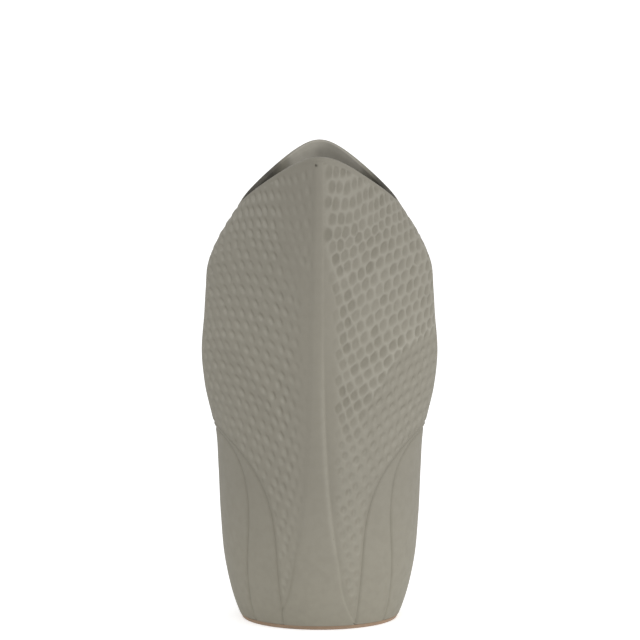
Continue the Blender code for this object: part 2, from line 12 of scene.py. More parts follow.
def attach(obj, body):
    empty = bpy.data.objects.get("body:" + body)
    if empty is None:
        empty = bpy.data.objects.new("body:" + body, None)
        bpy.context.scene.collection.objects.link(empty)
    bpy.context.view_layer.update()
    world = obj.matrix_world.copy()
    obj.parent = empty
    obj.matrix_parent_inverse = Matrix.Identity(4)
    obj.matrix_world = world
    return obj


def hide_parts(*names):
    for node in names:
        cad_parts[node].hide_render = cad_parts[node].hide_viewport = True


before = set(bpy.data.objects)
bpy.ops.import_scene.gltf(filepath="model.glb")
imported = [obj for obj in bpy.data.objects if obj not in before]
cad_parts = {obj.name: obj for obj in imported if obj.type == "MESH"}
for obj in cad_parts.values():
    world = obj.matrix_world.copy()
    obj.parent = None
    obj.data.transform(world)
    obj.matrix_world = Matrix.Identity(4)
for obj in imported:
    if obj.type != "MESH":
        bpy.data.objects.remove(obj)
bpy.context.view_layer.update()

# Lengths are in metres. Height is above the table, and across is round the form from the middle of
# a leaf. A span is (where it starts, how long it is) and a place is (where it is, how far it
# reaches). Two values with no other word are for the right blade and the left one, as seen from
# outside.

FRONT = 0.0
SIDE = math.pi / 2

# The form, as in the solids
TIP_HEIGHT = 0.355  # the rim at the two leaf tips
VALLEY_HEIGHT = 0.3130  # the rim at the sides
TIP_ROUNDING = 0.12  # share of a quarter turn over which a tip is rounded
RIM_FALL = 1.10  # power of the rim's fall from tip to side: 1 is straight
NOTCH_SHARE = 0.21  # share of the fall that comes late, as a notch at the side
NOTCH_FALL = 5
CORNER_SOFTNESS = 0.12  # share of its half width over which a section's corner is rounded
FOOT_RADIUS = 0.0592
BELLY_HALF_WIDTH = 0.0884
BELLY_HALF_DEPTH = 0.0768
MOUTH_HALF_WIDTH = 0.0586
MOUTH_HALF_DEPTH = 0.0489
# Share of the rim's height, shares of the way from the foot's width and depth to the belly's, and
# the section's power: 2 is round and 1 a diamond
LOWER_SHARES = (
    (0.000, 0.000, 0.000, 2.00),
    (0.031, 0.135, 0.233, 2.00),
    (0.132, 0.416, 0.682, 2.00),
    (0.247, 0.540, 0.830, 1.95),
    (0.362, 0.599, 0.875, 1.80),
    (0.450, 0.660, 0.926, 1.65),
    (0.564, 0.922, 1.000, 1.50),
    (0.636, 1.000, 0.983, 1.45),
)
# The same from the mouth's width and depth to the belly's
UPPER_SHARES = (
    (0.737, 0.935, 0.883, 1.38),
    (0.794, 0.900, 0.770, 1.33),
    (0.853, 0.845, 0.600, 1.30),
    (0.910, 0.608, 0.389, 1.22),
    (1.000, 0.000, 0.000, 1.19),
)
SKIN = 0.0024  # leaves and sheaths
BACKING = 0.0006  # between a skin's back and the wall
WALL = 0.0036
LIP_THICKNESS = 0.0044
LIP_HEIGHT = 0.0032  # smooth band above the leaves
LIP_TAPER = 0.030  # height over which the wall thins to the lip
LIP_CROWN = 0.0022  # rise of the lip's rounded top
FOOT_HEIGHT = 0.0030
FOOT_INSET = 0.0010  # the bare foot stands this far in from the leaves' face
FOOT_WIDTH = 0.0100
FOOT_ROUNDING = 0.0010
SKIN_FOOT = 0.0033
FLOOR_TOP = 0.0093
FLOOR_CENTRE = 0.002  # radius of the innermost ring of points on the floor
FLOOR_MIDDLE = 0.8  # share of the floor's radius at which another ring lies
LEAF_ARCH_HEIGHT = 0.149
LEAF_ARCH_HALF_ANGLE = math.radians(64)
LEAF_ARCH_POWERS = (5.2, 1.3)
SHEATH_ARCH_HEIGHT = 0.1445
SHEATH_ARCH_HALF_ANGLE = math.radians(37)
SHEATH_ARCH_SWELL = math.radians(7.5)  # added to the half angle higher up
SHEATH_ARCH_SWELL_HEIGHT = 0.100
SHEATH_ARCH_POWERS = (7.0, 1.7)
SHEATH_STEP = 0.0004  # each sheath lies this much deeper than what it is tucked under

# Surface points
GRAIN = 0.00085  # their spacing on the leaves and bands
SMOOTH_GRAIN = 0.0013  # on the plain panels
BACK_GRAIN = 0.008  # on the skins' backs
GRAIN_CLEARANCE = 0.62  # share of the spacing that they keep from an outline
TREE_STEP = 0.0003  # spacing on the lines that distances are measured from
ARCH_SAMPLES = 2000
ARCH_CROWDING = 3  # power that brings an arch's samples together at its crown
RIM_SAMPLES = 400
EDGE_SAMPLES = 2000
TIP_POINTS = 14  # across the midrib's tip
MERGE_DISTANCE = 1e-9
CHUNK = 4000  # points worked on at a time
SHARP_ANGLE = math.radians(42)  # steeper edges are shaded sharp
WALL_COLUMNS = 360
OUTER_LOOPS = 60
LIP_LOOPS = 13
INNER_LOOPS = 90
TURNED_COLUMNS = 160
CORNER_POINTS = 6

# Midrib
MIDRIB_TIP_HALF = 0.0035  # half width at the tip
MIDRIB_FLARE = 0.0300  # half width that the flare adds at the base
MIDRIB_FADE = 0.0620
MIDRIB_LEAST_HALF = 0.0012
MIDRIB_SHIFT = 0.0022  # the midrib lies this far left of the middle, and further at the foot
MIDRIB_SHIFT_FOOT = 0.0024
MIDRIB_SHIFT_FADE = 0.030
MIDRIB_SHIFT_LOSS = 0.5  # share of the shift that it loses higher up
MIDRIB_SHIFT_SPAN = (0.20, 0.12)
MIDRIB_WAIST = 0.0026  # the flare is slimmer a little above the foot
MIDRIB_WAIST_PLACE = (0.024, 0.020)
MIDRIB_CROWN = 0.0004
MIDRIB_STEP = (0.0010, 0.0006)  # drop beside the crown
MIDRIB_FLANK = (0.0020, 0.0060)  # width of that drop
MIDRIB_FLANK_INSIDE = 0.45  # share of it on the midrib
MIDRIB_VALLEY = 0.0060  # distance in which the blade rises again
RIGHT_STEP_FOOT = 0.45  # share of the drop that is left at the foot, and on the upper leaf
RIGHT_STEP_FOOT_SPAN = (0.010, 0.060)
RIGHT_STEP_TIP = 0.05
RIGHT_STEP_TIP_SPAN = (0.175, 0.060)
LEFT_STEP_TIP = 0.25
LEFT_STEP_TIP_SPAN = (0.010, 0.050)

# Grooves and the pit
GROOVE_DEPTH = 0.0007
GROOVE_WIDTH = 0.0011
SIDE_GROOVE_DEPTH = 0.0004
INNER_GROOVE = 1.15  # of the inner sheaths' grooves, as a share of the others
MIDRIB_GROOVE_SPAN = (0.015, 0.015)  # the groove on the midrib's foot ends here
PIT_POINT = (-0.0027, 0.3490)  # across and up
PIT_STRETCH = 1.1
PIT_RADIUS = 0.0009
PIT_DEPTH = 0.0016
SCRATCH_POINT = (0.0030, 0.3504)  # the middle of a short dark line beside the pit
SCRATCH_HALF = 0.0020
SCRATCH_WIDTH = 0.0005

# Dimples. What is in cells is a share of a dimple's width, and of its length along it.
BLADE_START = 0.0012  # a blade begins where it is this wide
BLADE_MARGIN = 0.01  # dimples this far outside a blade are left out
CELL_WIDTH = 0.0070
CELL_LENGTH = 0.0100
CELL_SPACING = (0.0093, 0.0071)  # along a row: on the open leaf, and near the midrib and the tip
CELL_CLOSE_HEIGHTS = (0.270, 0.060)
CELL_CLOSE_ACROSS = (0.014, 0.016)
CELL_DEPTH = (0.00095, 0.00075)
CELL_SIZE = 0.68  # a crisp dimple's reach, in cells
CELL_SOFTNESS = 0.48
CELL_RIDGE = 0.34  # in cells, between one dimple and the next
CELL_SCOOP = 0.10  # how far its deepest place lies towards the midrib, in cells
CELL_SIDES = 4  # how fast the tone turns from the painted light on a dimple's outer side to the painted shade on its inner side
CELL_SIDES_RIDGE = 0.2
ROUND_RIDGE = 0.4
# Spots on a round dimple, its bowl and the painted highlight and painted shadow on it: where they
# are across and along it, how narrow and short they are, their size and their softness, all in cells
ROUND_BOWL = (-0.5 * CELL_SCOOP / 1.35, 0.0, 1.35, 1.2, 0.56, 0.40)
ROUND_HIGHLIGHT = (0.12, -0.06, 1.35, 0.95, 0.50, 0.42)
ROUND_SHADOW = (-0.28, 0.06, 2.0, 0.75, 0.42, 0.34)
SHADOW_STRENGTH = 0.75
CELL_LEAN = math.radians(42)  # of the long axis, away from the midrib, in the upper leaf
CELL_LEAN_LOW = math.radians(14)
CELL_LEAN_SPAN = (0.050, 0.140)
CELL_LEAN_REACH = 0.024  # distance from the midrib in which the lean comes
CELL_LEAN_POWER = 1.5
CELL_EDGE = (0.0014, 0.0016)  # smooth border along a blade's side and arch
CELL_RIM_EDGE = (0.0006, 0.0016)
CELL_JITTER = (0.00045, math.radians(6), 0.06, 0.14)  # of centre, lean, length and strength
ROW_TOP = 0.3462  # where the top row of dimples starts at the midrib
ROW_LOWEST = -0.09
ROW_HEIGHT = (0.0104, 0.0118)  # between rows at the midrib, low down and at the tip
ROW_HEIGHT_BETWEEN = (0.25, 0.30)  # heights between which it changes
ROW_FIRST = 0.9  # the first dimple's distance from the midrib, in spacings
ROW_SHIFT = 0.5  # and what every second row adds to it
ROW_ENDS = (0.12, 0.37)  # across and up
ROW_STEP = 0.0005
ROW_RISE = 40.0  # degrees that a row climbs where it starts at a height
ROW_RISE_HEIGHT = 0.126
ROW_RISE_OUT = (200.0, 350.0)  # degrees lost per metre across, and per metre up
ROW_RISE_UP = (90.0, 150.0)
ROW_TIP_FALL = 27.0  # degrees lost at the tip, close to the midrib
ROW_TIP_HEIGHTS = (0.270, 0.045)
ROW_TIP_ACROSS = (0.012, 0.022)

# Where the dimples are
FIELD_TOP = (0.245, 0.055)  # from the leaf to its tip
FIELD_STRIP = ((0.0095, 0.0010), (0.0085, 0.0220))  # smooth strip on the leaf and at its tip
FIELD_STRIP_SPAN = (0.0, 0.10)
FIELD_SOFT = ((0.0085, 0.0050), (0.0230, 0.0230))  # distance in which the dimples come in
FIELD_SOFT_LOW = 0.35
FIELD_SOFT_SPAN = (0.02, 0.10)
FIELD_OVERLAP = 0.001  # the dimples may start this far inside the midrib's plain flare
FAINT_FIELD = ((0.28, (0.260, 0.020)), (0.22, (0.328, 0.010)))  # at the tip of the left blade
FAINT_FIELD_ACROSS = (0.004, 0.004)
FIELD_LOW = (0.62, 0.42)  # strength low down
FIELD_LOW_SPAN = (0.050, 0.130)
FIELD_FOOT_SPAN = (0.008, 0.030)

# Diagonal fold from the belly's corner down to the waist
FOLD = 0.0013
FOLD_ACROSS = (0.030, 0.037, 0.042, 0.049, 0.056, 0.063, 0.071, 0.087, 0.106)
FOLD_HEIGHTS = (0.163, 0.171, 0.176, 0.184, 0.195, 0.203, 0.209, 0.214, 0.218)
FOLD_START = (0.030, 0.012)
FOLD_END = (0.078, 0.020)
FOLD_SLANT = 0.8  # its distance from a point, as a share of its height above it
FOLD_WIDTHS = (0.012, 0.007)  # above it and below
FOLD_DIP = 0.5  # depth of the hollow below it, as a share of its height
FOLD_DIP_PLACE = (0.014, 0.009)
FOLD_BEYOND = (-0.001, 0.003)

# How pale (1) or dark (-1) the relief and the mouth are painted: mostly painted light and painted
# shade, with pooled glaze in the dimples and a scratch
TONE = "crest"  # the attribute of the mesh that says it
NET = (0.82, 0.22)  # paler net between the dimples and darker dimples: partly pooled glaze, partly painted light and painted shade
NET_BEYOND = 0.30  # what is left of it beyond the fold, and low down
NET_LOW = 0.66
NET_LOW_SPAN = (0.145, 0.040)
NET_PIT = (1.9, 1.3)  # how much painted shade, with pooled glaze, a crisp and a round dimple have in their net
ROUND_LOW_SPAN = (0.130, 0.040)  # the right blade's dimples are round below here
ROUND_HIGH = 0.05  # how round they are above it
ROUND_BEYOND = 0.85  # and beyond the fold
ROUND_BEYOND_SPAN = (0.0, 0.004)
RIGHT_SIDE_SHADING = (0.20, 0.85)  # painted light and painted shade on a dimple's two sides: crisp and round
RIGHT_SIDE_SHADING_SPAN = (0.110, 0.060)
LEFT_SIDE_SHADING = (1.10, 1.70)  # painted light and painted shade on the leaf and at its tip
LEFT_SIDE_SHADING_SPAN = (0.285, 0.025)
FOLD_GLEAM = 0.30  # on its ridge, right only
FOLD_SHADE = (0.40, 0.15)  # beyond the fold
FOLD_SHADE_FADE = 0.030
DARKEST = -1.0  # on the leaves
PALEST = 1.15
GROOVE_SHADE = 0.54  # painted shade beside a groove
GROOVE_SHADE_FOOT = 0.6  # share of it that is left at the foot
GROOVE_SHADE_SPAN = (0.005, 0.050)
GROOVE_SHADE_WIDTH = 1.5 * GROOVE_WIDTH
GLEAM = 0.65  # painted highlight along the midrib's right edge
GLEAM_START_SPAN = (0.022, 0.065)
GLEAM_END_SPAN = (0.165, 0.060)
GLEAM_INSIDE = 0.0012
GLEAM_WIDTH = 0.0016
LEFT_EDGE_SHADE = 0.6  # painted shade along the foot of its left edge
LEFT_EDGE_SHADE_END_SPAN = (0.040, 0.035)
LEFT_EDGE_SHADE_WIDTH = 0.0012
MOUTH_LIGHT_TONE = 2.0  # the tone values for the painted light inside the tips and the painted shade in the dark
INSIDE_SHADE_TONE = -3.0
MOUTH_CORNERS = (0.018, 0.028)  # distance from the middle where the painted shade in the mouth's corners starts
MOUTH_CORNER_LENGTH = 0.020
MOUTH_CORNER_END = (0.338, 0.010)  # the corners are painted pale above this span, and painted with shade below
# painted shade all round the inside comes in below this span
MOUTH_DEEP_END = (0.294, 0.020)
LIP_SHADE_SPAN = (0.12, 0.15)  # where the painted shade and the painted light come in round the lip, in half turns from outside to inside
LIP_LIGHT_SPAN = (0.45, 0.35)

# Linear colours
GLAZE = (0.292, 0.273, 0.224)
# Paler and darker glaze that the tone moves towards: mostly painted light and painted shade, and
# also pooled glaze and the scratch
GLAZE_PALER = (0.350, 0.331, 0.276)
GLAZE_DARKER = (0.242, 0.226, 0.180)
MOUTH_PAINTED_LIGHT = (0.550, 0.522, 0.448)  # painted light inside the two tips
INSIDE_PAINTED_SHADE = (0.030, 0.027, 0.022)  # painted shade in the mouth's corners, further down and in the midrib's pit
CLAY = (0.500, 0.360, 0.255)
CLAY_DARK = (0.42, 0.30, 0.21)
# Painted light at the foot and painted shade at the tips: what the glaze is multiplied by there, and
# the heights between which it comes in
FOOT_PAINTED_LIGHT = ((1.28, 1.28, 1.26), (0.11, 0.0))
TIP_PAINTED_SHADE = ((0.85, 0.85, 0.86), (0.22, 0.36))
# Layers of noise: scale, detail and roughness, the values between which a layer comes in, its
# strength and its colour
CLOUD = ((22.0, 4.0, 0.6), (0.35, 0.65), 0.22, (0.318, 0.301, 0.252))
MOTTLE = ((160.0, 3.0, 0.5), (0.40, 0.70), 0.18, (0.242, 0.228, 0.184))
SPECK = ((520.0, 1.0, 0.5), (0.80, 0.84), 0.45, (0.150, 0.135, 0.105))
GLAZE_ROUGHNESS = (0.54, 0.64)
GLAZE_ROUGHNESS_MOTTLE = (0.3, 0.7)
GLAZE_SPECULAR = 0.25
GLAZE_GRAIN = (900.0, 2.0, 0.5)
GLAZE_BUMP = {"Strength": 0.12, "Distance": 0.0003}
CLAY_GRAIN = (700.0, 4.0, 0.5)
CLAY_BUMP = {"Strength": 0.35, "Distance": 0.0004}
CLAY_ROUGHNESS = 0.92

# Studio
WHITE = (1.0, 1.0, 1.0, 1.0)
SKY = (0.64, 0.78)  # strength at the horizon and overhead
FLOOR_HALF = 6.0
FLOOR_COLOUR = (0.92, 0.92, 0.92, 1.0)
FLOOR_GLOW = 0.50  # as the camera sees it
KEY_LAMP = (17.0, (0.8, 0.6), (2.4, -1.05, 0.80))  # energy, size and point
FRONT_LAMP = (5.0, (1.0, 0.6), (-0.2, -2.0, 1.45))
LAMP_AIM = (0.0, 0.0, 0.17)
CAMERA_POINT = (0.0003, -7.32, 1.3975)
CAMERA_TILT = math.radians(90 - 9.1)  # 9.1 degrees down from level
CAMERA_LENS = 557.0
CAMERA_SENSOR = 36.0
CAMERA_CLIP = (0.1, 60.0)


def eased(value):
    value = np.clip(value, 0, 1)
    return value * value * (3 - 2 * value)


def ramp(value, span):
    """0 up to where a span starts, easing to 1 at its end."""
    start, length = span
    return eased((value - start) / length)


def bell(distance, width):
    """1 at no distance, falling off to both sides."""
    return np.exp(-((distance / width) ** 2))


def mix(first, second, share):
    return first + (second - first) * share


def own(pair, hand):
    """The value of a pair for the right blade, whose hand is 1, or for the left, whose is -1."""
    return pair[0] if hand > 0 else pair[1]


def station_table():
    rows = []
    for height, width, depth, power in LOWER_SHARES:
        half_width = mix(FOOT_RADIUS, BELLY_HALF_WIDTH, width)
        half_depth = mix(FOOT_RADIUS, BELLY_HALF_DEPTH, depth)
        rows.append((height, half_width, half_depth, power))
    for height, width, depth, power in UPPER_SHARES:
        half_width = mix(MOUTH_HALF_WIDTH, BELLY_HALF_WIDTH, width)
        half_depth = mix(MOUTH_HALF_DEPTH, BELLY_HALF_DEPTH, depth)
        rows.append((height, half_width, half_depth, power))
    return np.array(rows)


STATIONS = station_table()


def section(share):
    """Half width, half depth and power at a share of the rim's height."""
    shares = STATIONS[:, 0]
    share = np.clip(share, 0.0, 1.0)
    i = np.clip(np.searchsorted(shares, share) - 1, 0, len(shares) - 2)
    step = shares[i + 1] - shares[i]
    t = (share - shares[i]) / step
    found = []
    for column in (1, 2, 3):
        values = STATIONS[:, column]
        slopes = np.gradient(values, shares)
        start = (2 * t**3 - 3 * t**2 + 1) * values[i] + (t**3 - 2 * t**2 + t) * step * slopes[i]
        end = (3 * t**2 - 2 * t**3) * values[i + 1] + (t**3 - t**2) * step * slopes[i + 1]
        found.append(start + end)
    return found


def rim_height(angle):
    turn = np.arccos(np.clip(np.abs(np.cos(angle)), 0.0, 1.0)) / SIDE
    whole = math.hypot(1.0, TIP_ROUNDING) - TIP_ROUNDING
    turn = (np.hypot(turn, TIP_ROUNDING) - TIP_ROUNDING) / whole
    drop = (1 - NOTCH_SHARE) * turn**RIM_FALL + NOTCH_SHARE * turn**NOTCH_FALL
    return TIP_HEIGHT - (TIP_HEIGHT - VALLEY_HEIGHT) * drop


def form_point(angle, height, depth):
    """The point at an angle from the front and a height, a depth in from the leaves' face."""
    half_width, half_depth, power = section(height / rim_height(angle))
    inset = depth * 2 ** (1 / power - 0.5)
    across = np.sin(angle) / (half_width - inset)
    along = np.cos(angle) / (half_depth - inset)
    soft = CORNER_SOFTNESS * np.hypot(across, along)
    total = sum((reach**2 + soft**2) ** (power / 2) - soft**power for reach in (across, along))
    at_corner = (1 + CORNER_SOFTNESS**2) ** (power / 2) - CORNER_SOFTNESS**power
    radius = (total / at_corner) ** (-1 / power)
    x, y = radius * np.sin(angle), -radius * np.cos(angle)
    return np.stack([x, y, height + 0 * radius], axis=-1)


ANGLES = np.linspace(0.0, math.pi, 361)
HEIGHTS = np.linspace(0.0, TIP_HEIGHT, 179)
SHARES = np.linspace(0.0, 1.0, 721)


def flat_tables():
    """Metres round the form from the front by angle and height, and angles by share of them."""
    points = form_point(ANGLES[:, None], HEIGHTS[None, :], 0.0)
    steps = np.linalg.norm(np.diff(points[..., :2], axis=0), axis=2)
    girths = np.concatenate([np.zeros((1, len(HEIGHTS))), np.cumsum(steps, axis=0)])
    back = [np.interp(SHARES * column[-1], column, ANGLES) for column in girths.T]
    return girths, np.stack(back, axis=1)


GIRTHS, BACK = flat_tables()


def looked_up(table, row, column):
    """A table read between its points, at places counted in its own steps."""
    i = np.clip(row.astype(int), 0, table.shape[0] - 2)
    j = np.clip(column.astype(int), 0, table.shape[1] - 2)
    f = row - i
    g = column - j
    low = table[i, j] * (1 - g) + table[i, j + 1] * g
    high = table[i + 1, j] * (1 - g) + table[i + 1, j + 1] * g
    return low * (1 - f) + high * f


def height_steps(height):
    return np.clip(np.asarray(height, dtype=float) / TIP_HEIGHT, 0, 1) * (len(HEIGHTS) - 1)


def girth_to(angle, height):
    """Metres round the form from the front to an angle."""
    angle, height = np.asarray(angle, dtype=float), np.asarray(height, dtype=float)
    angle, height = np.broadcast_arrays(angle, height)
    steps = np.abs(angle) / math.pi * (len(ANGLES) - 1)
    return np.sign(angle) * looked_up(GIRTHS, steps, height_steps(height))


def wrapped(flat, centre):
    """Angles of flat places that are measured from the front or from the right side."""
    across = flat[:, 0] + (girth_to(SIDE, flat[:, 1]) if centre == SIDE else 0.0)
    whole = girth_to(math.pi, flat[:, 1])
    steps = np.abs(across) / whole * (len(SHARES) - 1)
    return np.sign(across) * looked_up(BACK, steps, height_steps(flat[:, 1]))


def midrib_half(height):
    return MIDRIB_TIP_HALF + MIDRIB_FLARE * np.exp(-height / MIDRIB_FADE)


def midrib_reach(height, hand):
    """Distance from the middle to the midrib's right or left edge."""
    shift = MIDRIB_SHIFT + MIDRIB_SHIFT_FOOT * np.exp(-height / MIDRIB_SHIFT_FADE)
    shift = shift * (1 - ramp(height, MIDRIB_SHIFT_SPAN) * MIDRIB_SHIFT_LOSS)
    place, reach = MIDRIB_WAIST_PLACE
    waist = MIDRIB_WAIST * bell(height - place, reach)
    return np.maximum(midrib_half(height) - hand * shift - waist, MIDRIB_LEAST_HALF)


def midrib_profile(beside, height, hand):
    """Rise across the midrib's edge. Beside is the distance out from it, and less than 0 inside."""
    if hand > 0:
        strength = mix(1, RIGHT_STEP_TIP, ramp(height, RIGHT_STEP_TIP_SPAN))
        strength = strength * mix(RIGHT_STEP_FOOT, 1, ramp(height, RIGHT_STEP_FOOT_SPAN))
    else:
        strength = mix(1, LEFT_STEP_TIP, ramp(height, LEFT_STEP_TIP_SPAN))
    flank = own(MIDRIB_FLANK, hand)
    down = eased((beside + MIDRIB_FLANK_INSIDE * flank) / flank)
    step = own(MIDRIB_STEP, hand) * strength * down
    return MIDRIB_CROWN * (1 - down) - step * np.exp(-np.maximum(beside, 0) / MIDRIB_VALLEY)


def groove_shade(away, height):
    """Painted shade beside a groove, where shade falls in it. The lines grow fainter towards the
    foot.
    """
    strength = GROOVE_SHADE * mix(GROOVE_SHADE_FOOT, 1, ramp(height, GROOVE_SHADE_SPAN))
    return strength * bell(away, GROOVE_SHADE_WIDTH)


def midrib_light_and_shade(beside, height, hand):
    """Painted highlight along the midrib's right edge, and painted shade low beside its left one."""
    if hand < 0:
        return -LEFT_EDGE_SHADE * (1 - ramp(height, LEFT_EDGE_SHADE_END_SPAN)) * bell(beside, LEFT_EDGE_SHADE_WIDTH)
    reach = ramp(height, GLEAM_START_SPAN) * (1 - ramp(height, GLEAM_END_SPAN))
    return GLEAM * reach * bell(beside + GLEAM_INSIDE, GLEAM_WIDTH)


def arch_curve(top, powers, half_angle, swell):
    """The front half of an arch round the right side, laid flat, from its foot to its crown."""
    crowded = 1 - (1 - np.linspace(0, 1, ARCH_SAMPLES)) ** ARCH_CROWDING
    height = mix(SKIN_FOOT, top, crowded)
    rise, spread = powers
    opening = (1 - (height / top) ** rise) ** (1 / spread)
    half_angle = half_angle + swell * eased(height / SHEATH_ARCH_SWELL_HEIGHT)
    return np.stack([girth_to(SIDE - half_angle * opening, height), height], axis=-1)


ARCH = arch_curve(LEAF_ARCH_HEIGHT, LEAF_ARCH_POWERS, LEAF_ARCH_HALF_ANGLE, 0.0)
INNER_ARCH = arch_curve(
    SHEATH_ARCH_HEIGHT, SHEATH_ARCH_POWERS, SHEATH_ARCH_HALF_ANGLE, SHEATH_ARCH_SWELL
)


def evenly(curve, step):
    """The same curve with evenly spaced points."""
    steps = np.linalg.norm(np.diff(curve, axis=0), axis=1)
    along = np.concatenate([[0.0], np.cumsum(steps)])
    stops = np.linspace(0.0, along[-1], max(2, math.ceil(along[-1] / step) + 1))
    return np.stack([np.interp(stops, along, axis) for axis in curve.T], axis=-1)


def tree_of(points):
    tree = KDTree(len(points))
    for i, point in enumerate(points):
        tree.insert((point[0], point[1], 0.0), i)
    tree.balance()
    return tree


def away_from(tree, points):
    return np.array([tree.find((point[0], point[1], 0.0))[2] for point in points])


def own_side(curve):
    """A curve measured from the right side's middle."""
    return np.stack([curve[:, 0] - girth_to(SIDE, curve[:, 1]), curve[:, 1]], axis=-1)


ARCH_TREE = tree_of(evenly(ARCH, TREE_STEP))
SIDE_ARCH_TREE = tree_of(evenly(own_side(ARCH), TREE_STEP))
SIDE_INNER_TREE = tree_of(evenly(own_side(INNER_ARCH), TREE_STEP))


def arch_round(curve):
    """A whole arch from its own side's middle, from the back foot over the crown to the front."""
    front = evenly(own_side(curve), GRAIN)
    front[-1, 0] = 0.0
    return np.concatenate([front[:-1] * np.array([-1.0, 1.0]), front[::-1]])


def blade_curves(hand):
    """A blade's four edges, laid flat as if on the right: arch, side, rim and midrib."""
    reach = midrib_reach(ARCH[:, 1], hand)
    arch = evenly(ARCH[ARCH[:, 0] - reach > BLADE_START], GRAIN)
    heights = np.arange(LEAF_ARCH_HEIGHT, VALLEY_HEIGHT - LIP_HEIGHT, GRAIN)
    side = np.stack([girth_to(SIDE, heights), heights], axis=-1)
    angles = np.linspace(SIDE, 0.0, RIM_SAMPLES)
    heights = rim_height(angles) - LIP_HEIGHT
    rim = np.stack([girth_to(angles, heights), heights], axis=-1)
    rim = evenly(rim[rim[:, 0] > midrib_reach(rim[:, 1], hand)], GRAIN)
    heights = np.linspace(rim[-1, 1], arch[0, 1], EDGE_SAMPLES)
    inner = evenly(np.stack([midrib_reach(heights, hand), heights], axis=-1), GRAIN)
    return arch, side, rim, inner


def midrib_line():
    """The front midrib's outline, laid flat, with its foot."""
    sides = []
    for hand in (1, -1):
        arch, _, _, inner = blade_curves(hand)
        below = ARCH[ARCH[:, 1] < arch[0, 1]]
        foot = evenly(np.concatenate([below, arch[:1]]), GRAIN)
        sides.append(np.concatenate([foot, inner[::-1]]))
    right, left = sides
    left = (left * np.array([-1.0, 1.0]))[::-1]
    across = np.linspace(right[-1, 0], left[0, 0], TIP_POINTS)[1:-1]
    level = np.full_like(across, TIP_HEIGHT - LIP_HEIGHT)
    angle = wrapped(np.stack([across, level], axis=-1), FRONT)
    top = np.stack([across, rim_height(angle) - LIP_HEIGHT], axis=-1)
    foot = evenly(np.array([left[-1], right[0]]), GRAIN)[1:-1]
    foot[:, 1] = SKIN_FOOT
    return np.concatenate([right, top, left, foot])


def cell_lean(across, height):
    """Lean of a dimple's long axis away from the midrib."""
    lean = mix(CELL_LEAN_LOW, CELL_LEAN, ramp(height, CELL_LEAN_SPAN))
    return lean * (1 - np.exp(-((across / CELL_LEAN_REACH) ** CELL_LEAN_POWER)))


def cell_field(across, height, hand):
    """How strong the dimples are. They leave a strip beside the midrib and fade to the foot."""
    top = ramp(height, FIELD_TOP)
    plain = midrib_half(height) - FIELD_OVERLAP
    if hand > 0:
        plain = plain * (1 - top)
    strip = mix(*own(FIELD_STRIP, hand), top) * ramp(height, FIELD_STRIP_SPAN)
    soft = mix(*own(FIELD_SOFT, hand), top) * mix(FIELD_SOFT_LOW, 1, ramp(height, FIELD_SOFT_SPAN))
    beside = eased((across - np.maximum(plain, strip)) / soft)
    if hand < 0:
        faint = sum(strength * ramp(height, span) for strength, span in FAINT_FIELD)
        beside = np.maximum(beside, faint * ramp(across, FAINT_FIELD_ACROSS))
    low = mix(own(FIELD_LOW, hand), 1, ramp(height, FIELD_LOW_SPAN))
    return beside * low * ramp(height, FIELD_FOOT_SPAN)


def row_rise(across, height, hand):
    """How steeply a row climbs: less further out and higher up, and downwards at the tip."""
    out, up = own(ROW_RISE_OUT, hand), own(ROW_RISE_UP, hand)
    rise = ROW_RISE - out * across - up * (height - ROW_RISE_HEIGHT)
    fall = ROW_TIP_FALL * ramp(height, ROW_TIP_HEIGHTS) * (1 - ramp(across, ROW_TIP_ACROSS))
    return math.radians(rise - fall)


def cell_spacing(across, height):
    near_midrib = 1 - ramp(across, CELL_CLOSE_ACROSS)
    return mix(*CELL_SPACING, np.maximum(ramp(height, CELL_CLOSE_HEIGHTS), near_midrib))


def cell_rows(seed, hand):
    """Dimples in rows that climb outwards from the midrib, every second row shifted.

    Each has its centre across and up, its lean, its length and its strength.
    """
    rng = np.random.default_rng(seed)
    cells, start, row = [], ROW_TOP, 0
    while start > ROW_LOWEST:
        across, height, travelled = 0.0, start, 0.0
        due = CELL_SPACING[1] * (ROW_FIRST + ROW_SHIFT * (row % 2))
        while across < ROW_ENDS[0] and height < ROW_ENDS[1]:
            rise = row_rise(across, height, hand)
            if travelled >= due:
                cells.append((across, height, float(cell_lean(across, height)), CELL_LENGTH))
                due += cell_spacing(across, height)
            across += ROW_STEP * math.cos(rise)
            height += ROW_STEP * math.sin(rise)
            travelled += ROW_STEP
        start -= np.interp(start, ROW_HEIGHT_BETWEEN, ROW_HEIGHT)
        row += 1
    cells = np.array(cells)
    centre, lean, length, strength = CELL_JITTER
    cells[:, :2] += rng.normal(0.0, centre, (len(cells), 2))
    cells[:, 2] += rng.normal(0.0, lean, len(cells))
    cells[:, 3] *= 1 + rng.normal(0.0, length, len(cells))
    strengths = 1 + rng.normal(0.0, strength, len(cells))
    return np.concatenate([cells, strengths[:, None]], axis=1)


def spot(narrow, long, shape):
    """1 in the middle of a spot on a dimple, easing to 0 at its edge."""
    across, along, squeeze, shorten, size, soft = shape
    away = np.hypot(squeeze * (narrow - across), shorten * (long - along))
    return eased((size - away) / soft)


